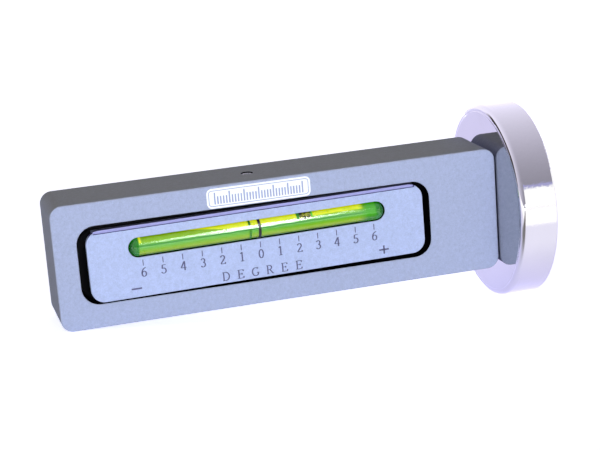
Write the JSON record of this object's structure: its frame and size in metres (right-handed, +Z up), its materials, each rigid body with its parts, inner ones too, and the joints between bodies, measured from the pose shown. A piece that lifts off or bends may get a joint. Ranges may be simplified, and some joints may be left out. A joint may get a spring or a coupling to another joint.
{
  "type": "camber caster gauge",
  "caption": "Magnetic wheel alignment gauge: aluminium bar on a chromed pot magnet, with tilting insert, camber vial and caster vial.",
  "frame": {"origin": "centre of the magnet's working face, in the plane of the steel cup's rim", "axes": "+X out of the magnet's working face into the wheel hub, along the bar; +Z up in use; -Y towards the camber scale"},
  "size_m": [0.1633, 0.066, 0.066],
  "materials": {
    "bar_anodised": "bead-blasted and anodised, matt blue-grey",
    "plate_anodised": "fine-blasted and anodised, matt pale blue, printed scale",
    "backing_aluminium": "bright anodised",
    "bright_steel": "turned, zinc plated",
    "black_steel": "black oxide",
    "polished_chrome": "mirror-polished chrome plate on steel",
    "ferrite": "ground sintered ferrite",
    "potting_resin": "cast resin",
    "washer_nylon": "black nylon",
    "core_plastic": "black moulded plastic",
    "pad_brass": "turned",
    "tape": "black foam tape",
    "vial_clear": "clear acrylic",
    "vial_end": "green acrylic",
    "vial_liquid": "fluorescent yellow-green spirit",
    "vial_air": "air bubble"
  },
  "bodies": {
    "gauge_body": {"body_bar": "bar_anodised", "rocker_dowel": "bright_steel", "thread_bush": "bright_steel", "swivel_screw": "black_steel", "thrust_washer": "washer_nylon", "disc_spring": "bright_steel"},
    "magnet_base": {"magnet_cup": "polished_chrome", "ferrite_ring": "ferrite", "resin_ring": "potting_resin", "plain_washer": "bright_steel"},
    "scale_insert": {"insert_core": "core_plastic", "camber_backing": "backing_aluminium", "camber_clamp_screws": "bright_steel", "camber_tape": "tape", "camber_scale_plate": "plate_anodised", "camber_vial_tube": "vial_clear", "camber_vial_end_left": "vial_end", "camber_vial_end_right": "vial_end", "camber_liquid": "vial_liquid", "caster_backing": "backing_aluminium", "caster_clamp_screws": "bright_steel", "caster_tape": "tape", "caster_scale_plate": "plate_anodised", "caster_vial_tube": "vial_clear", "caster_vial_end_left": "vial_end", "caster_vial_end_right": "vial_end", "caster_liquid": "vial_liquid"},
    "camber_bubble": {"camber_bubble": "vial_air"},
    "caster_bubble": {"caster_bubble": "vial_air"},
    "lock_pad": {"lock_pad": "pad_brass"},
    "lock_screw": {"lock_screw": "bright_steel"}
  },
  "joints": [
    {"name": "magnet_swivel", "type": "hinge", "parent": "gauge_body", "child": "magnet_base", "pos_m": [0, 0, 0], "axis": [1, 0, 0], "continuous": true},
    {"name": "insert_tilt", "type": "hinge", "parent": "gauge_body", "child": "scale_insert", "pos_m": [-0.0959, 0, -0.013], "axis": [0, -1, 0], "range_deg": [-1.45, 0.25]},
    {"name": "camber_bubble_run", "type": "slide", "parent": "scale_insert", "child": "camber_bubble", "axis": [0.9999, 0, 0.0105], "range_m": [-0.05403, 0.02279], "deforming": ["camber_liquid"]},
    {"name": "caster_bubble_run", "type": "slide", "parent": "scale_insert", "child": "caster_bubble", "axis": [0.9999, 0, 0.0105], "range_m": [-0.05403, 0.02279], "deforming": ["caster_liquid"]},
    {"name": "lock_screw_travel", "type": "slide", "parent": "gauge_body", "child": "lock_pad", "axis": [0, 0, 1], "range_m": [0, 0.0007]},
    {"name": "lock_screw_turn", "type": "hinge", "parent": "lock_pad", "child": "lock_screw", "pos_m": [-0.0959, 0, 0.01725], "axis": [0, 0, 1], "range_deg": [0, 360]}
  ],
  "couplings": [
    {"joint": "caster_bubble_run", "follows": "camber_bubble_run", "ratio": 1},
    {"joint": "lock_screw_turn", "follows": "lock_screw_travel", "rad_per_m": 8976}
  ]
}
